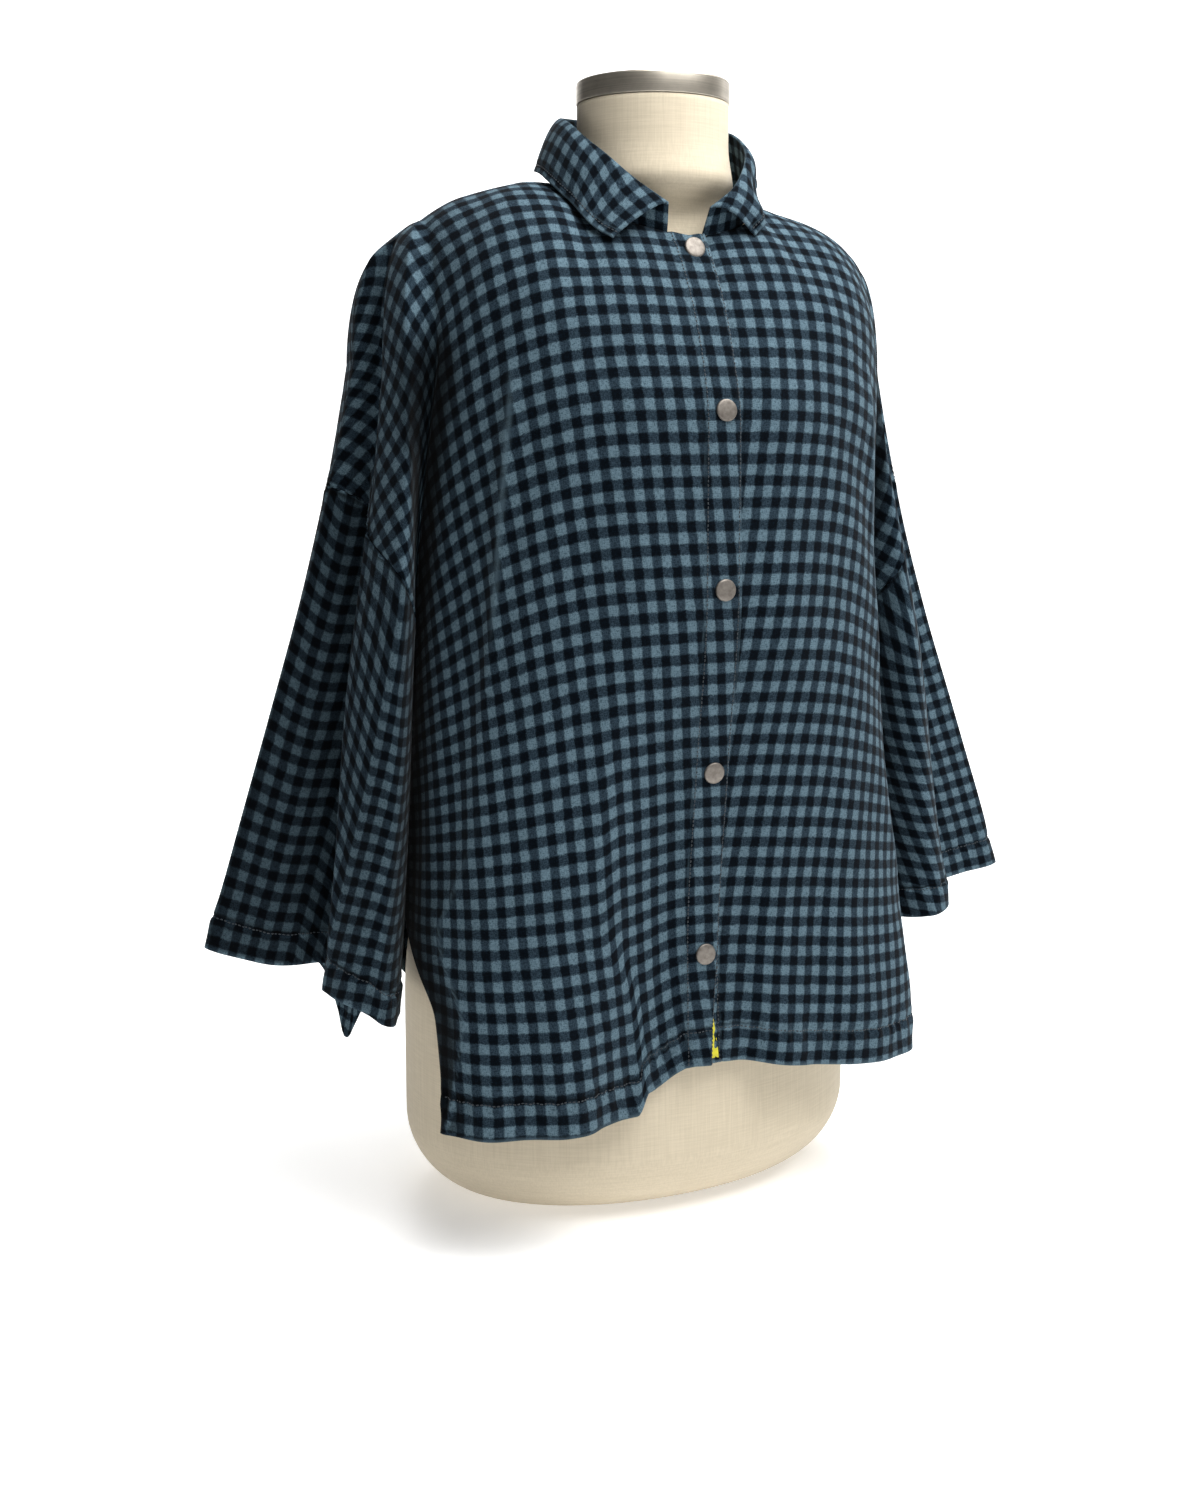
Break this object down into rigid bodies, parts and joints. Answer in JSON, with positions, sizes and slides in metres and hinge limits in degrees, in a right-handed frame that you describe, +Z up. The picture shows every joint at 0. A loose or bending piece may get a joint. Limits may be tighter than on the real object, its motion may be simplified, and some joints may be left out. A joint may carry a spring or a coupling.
{
  "type": "flannel shirt on a dress form",
  "caption": "Boxy snap-front flannel shirt with a small collar, dropped wide sleeves and side vents, hanging on a limbless dress form with a flat underside.",
  "frame": {"origin": "centre of the dress form's flat underside", "axes": "+Z up along the form; the shirt front faces -Y; the wearer's left is +X"},
  "size_m": [0.6708, 0.3074, 0.8185],
  "materials": {
    "front_right": "brushed cotton flannel, small blue and navy gingham check",
    "front_left": "brushed cotton flannel, small blue and navy gingham check",
    "back": "brushed cotton flannel, small blue and navy gingham check",
    "sleeve_right": "brushed cotton flannel, small blue and navy gingham check",
    "sleeve_left": "brushed cotton flannel, small blue and navy gingham check",
    "collar": "brushed cotton flannel, small blue and navy gingham check",
    "snap_1": "antique nickel, softly worn",
    "snap_2": "antique nickel, softly worn",
    "snap_3": "antique nickel, softly worn",
    "snap_4": "antique nickel, softly worn",
    "snap_5": "antique nickel, softly worn",
    "hem_tab": "plain yellow woven tape",
    "form_torso": "fine cream linen stretched over a smooth form",
    "form_neck_cap": "warm grey brushed metal"
  },
  "bodies": {
    "root": {"front_right": "front_right", "front_left": "front_left", "back": "back", "sleeve_right": "sleeve_right", "sleeve_left": "sleeve_left", "collar": "collar", "snap_1": "snap_1", "snap_2": "snap_2", "snap_3": "snap_3", "snap_4": "snap_4", "snap_5": "snap_5", "hem_tab": "hem_tab", "form_torso": "form_torso", "form_neck_cap": "form_neck_cap"}
  },
  "joints": []
}
